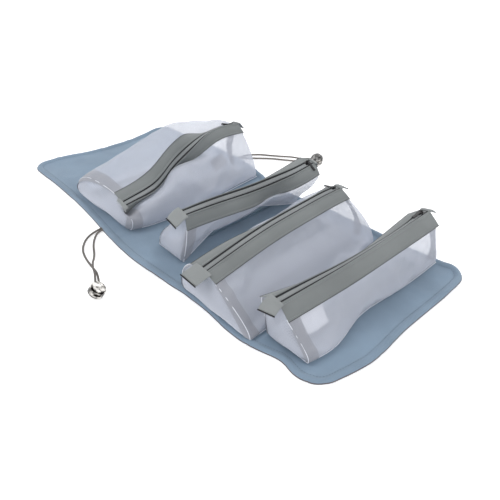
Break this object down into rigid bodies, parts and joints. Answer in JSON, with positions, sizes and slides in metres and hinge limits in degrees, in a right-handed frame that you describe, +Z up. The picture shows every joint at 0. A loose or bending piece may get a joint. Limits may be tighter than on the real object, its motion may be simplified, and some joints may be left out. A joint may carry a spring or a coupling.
{
  "type": "hanging toiletry bag",
  "caption": "Roll-up hanging toiletry bag laid open: cloth mat with a drawstring hem, zipped mesh pouches on hook-and-loop strips, and elastic cords with round metal cord locks.",
  "frame": {"origin": "middle of the mat's underside, on the surface it lies on", "axes": "+X along the mat from its far flap to its near end, +Y across it towards the zip sliders' rest ends, +Z up out of the mat on the pouches' side"},
  "size_m": [0.646, 0.4707, 0.08],
  "materials": {
    "mat_fabric": "smooth woven polyester, grey-blue, slight sheen",
    "mesh": "fine white net",
    "strip_fabric": "matte grey ribbon",
    "zip_tape": "grey coil zip on woven tape",
    "zip_metal": "gloss black",
    "hook_loop": "napped hook-and-loop tape",
    "cord": "braided elastic, grey-brown",
    "lock_metal": "polished nickel plate",
    "spring_steel": "drawn wire",
    "label": "blank white woven label"
  },
  "bodies": {
    "panel_2": {"mat_panel_2": "mat_fabric", "loop_strip_2": "hook_loop", "hem_cord_panel_2": "cord"},
    "panel_1": {"mat_panel_1": "mat_fabric", "loop_strip_1": "hook_loop", "hem_cord_panel_1": "cord", "cord_left": "cord", "cord_right": "cord"},
    "far_flap": {"mat_far_flap": "mat_fabric", "hem_cord_far_flap": "cord"},
    "panel_3": {"mat_panel_3": "mat_fabric", "loop_strip_3": "hook_loop", "hem_cord_panel_3": "cord"},
    "panel_4": {"mat_panel_4": "mat_fabric", "loop_strip_4": "hook_loop", "hem_cord_panel_4": "cord"},
    "pouch_1": {"pouch_1_base": "mesh", "pouch_1_sides": "mesh", "pouch_1_ends": "mesh", "pouch_1_strips": "strip_fabric", "pouch_1_zip": "zip_tape", "pouch_1_tabs": "strip_fabric", "pouch_1_hook": "hook_loop"},
    "slider_1": {"pouch_1_slider": "zip_metal"},
    "pull_1": {"pouch_1_pull": "zip_metal"},
    "pouch_2": {"pouch_2_base": "mesh", "pouch_2_sides": "mesh", "pouch_2_ends": "mesh", "pouch_2_strips": "strip_fabric", "pouch_2_zip": "zip_tape", "pouch_2_tabs": "strip_fabric", "pouch_2_hook": "hook_loop"},
    "slider_2": {"pouch_2_slider": "zip_metal"},
    "pull_2": {"pouch_2_pull": "zip_metal"},
    "pouch_3": {"pouch_3_base": "mesh", "pouch_3_sides": "mesh", "pouch_3_ends": "mesh", "pouch_3_strips": "strip_fabric", "pouch_3_zip": "zip_tape", "pouch_3_tabs": "strip_fabric", "pouch_3_hook": "hook_loop"},
    "slider_3": {"pouch_3_slider": "zip_metal"},
    "pull_3": {"pouch_3_pull": "zip_metal"},
    "pouch_4": {"pouch_4_base": "mesh", "pouch_4_sides": "mesh", "pouch_4_ends": "mesh", "pouch_4_strips": "strip_fabric", "pouch_4_zip": "zip_tape", "pouch_4_tabs": "strip_fabric", "pouch_4_hook": "hook_loop", "pouch_4_label": "label"},
    "slider_4": {"pouch_4_slider": "zip_metal"},
    "pull_4": {"pouch_4_pull": "zip_metal"},
    "lock_left": {"lock_left_body": "lock_metal", "lock_left_spring": "spring_steel"},
    "lock_left_button": {"lock_left_plunger": "lock_metal"},
    "lock_right": {"lock_right_body": "lock_metal", "lock_right_spring": "spring_steel"},
    "lock_right_button": {"lock_right_plunger": "lock_metal"}
  },
  "joints": [
    {"name": "fold_far_flap", "type": "hinge", "parent": "panel_1", "child": "far_flap", "pos_m": [-0.212, 0, 0.0005], "axis": [0, -1, 0], "range_deg": [-106, 60]},
    {"name": "fold_1_2", "type": "hinge", "parent": "panel_2", "child": "panel_1", "pos_m": [-0.028, 0, 0.0005], "axis": [0, -1, 0], "range_deg": [-55, 60]},
    {"name": "fold_2_3", "type": "hinge", "parent": "panel_2", "child": "panel_3", "pos_m": [0.066, 0, 0.0005], "axis": [0, 1, 0], "range_deg": [-14, 60]},
    {"name": "fold_3_4", "type": "hinge", "parent": "panel_3", "child": "panel_4", "pos_m": [0.2185, 0, 0.0005], "axis": [0, 1, 0], "range_deg": [-23, 60]},
    {"name": "pouch_1_lift", "type": "slide", "parent": "panel_1", "child": "pouch_1", "axis": [0, 0, 1], "range_m": [0, 0.15]},
    {"name": "zip_1_slide", "type": "slide", "parent": "pouch_1", "child": "slider_1", "axis": [0.1443, -0.9771, -0.1567], "range_m": [0, 0.22257]},
    {"name": "pull_1_swing", "type": "hinge", "parent": "slider_1", "child": "pull_1", "pos_m": [-0.10258, 0.11479, 0.07808], "axis": [-0.4864, 0.8424, 0.2321], "range_deg": [0, 150]},
    {"name": "pouch_2_lift", "type": "slide", "parent": "panel_2", "child": "pouch_2", "axis": [0, 0, 1], "range_m": [0, 0.15]},
    {"name": "zip_2_slide", "type": "slide", "parent": "pouch_2", "child": "slider_2", "axis": [-0.0725, -0.9973, -0.0091], "range_m": [0, 0.20059]},
    {"name": "pull_2_swing", "type": "hinge", "parent": "slider_2", "child": "pull_2", "pos_m": [0.05993, 0.11794, 0.07365], "axis": [0, -0.9998, -0.0219], "range_deg": [0, 150]},
    {"name": "pouch_3_lift", "type": "slide", "parent": "panel_3", "child": "pouch_3", "axis": [0, 0, 1], "range_m": [0, 0.15]},
    {"name": "zip_3_slide", "type": "slide", "parent": "pouch_3", "child": "slider_3", "axis": [0.0568, -0.9981, -0.0243], "range_m": [0, 0.22647]},
    {"name": "pull_3_swing", "type": "hinge", "parent": "slider_3", "child": "pull_3", "pos_m": [0.12457, 0.10193, 0.06356], "axis": [0, 0.9997, 0.0244], "range_deg": [0, 150]},
    {"name": "pouch_4_lift", "type": "slide", "parent": "panel_4", "child": "pouch_4", "axis": [0, 0, 1], "range_m": [0, 0.15]},
    {"name": "zip_4_slide", "type": "slide", "parent": "pouch_4", "child": "slider_4", "axis": [-0.0479, -0.9981, -0.0399], "range_m": [0, 0.23049]},
    {"name": "pull_4_swing", "type": "hinge", "parent": "slider_4", "child": "pull_4", "pos_m": [0.24252, 0.12787, 0.0704], "axis": [-1, 0, 0], "range_deg": [0, 150]},
    {"name": "lock_left_slide", "type": "slide", "parent": "panel_1", "child": "lock_left", "axis": [-0.8472, 0.5183, 0.1163], "range_m": [0, 0.004]},
    {"name": "lock_left_press", "type": "slide", "parent": "lock_left", "child": "lock_left_button", "axis": [-0.3609, -0.401, -0.842], "range_m": [0, 0.0014], "stiffness_N_per_m": 800, "springref_m": -0.001, "deforming": ["lock_left_spring"]},
    {"name": "lock_right_slide", "type": "slide", "parent": "panel_1", "child": "lock_right", "axis": [-0.689, -0.7194, -0.0884], "range_m": [0, 0.004]},
    {"name": "lock_right_press", "type": "slide", "parent": "lock_right", "child": "lock_right_button", "axis": [-0.2506, 0.3509, -0.9023], "range_m": [0, 0.0014], "stiffness_N_per_m": 800, "springref_m": -0.001, "deforming": ["lock_right_spring"]}
  ]
}
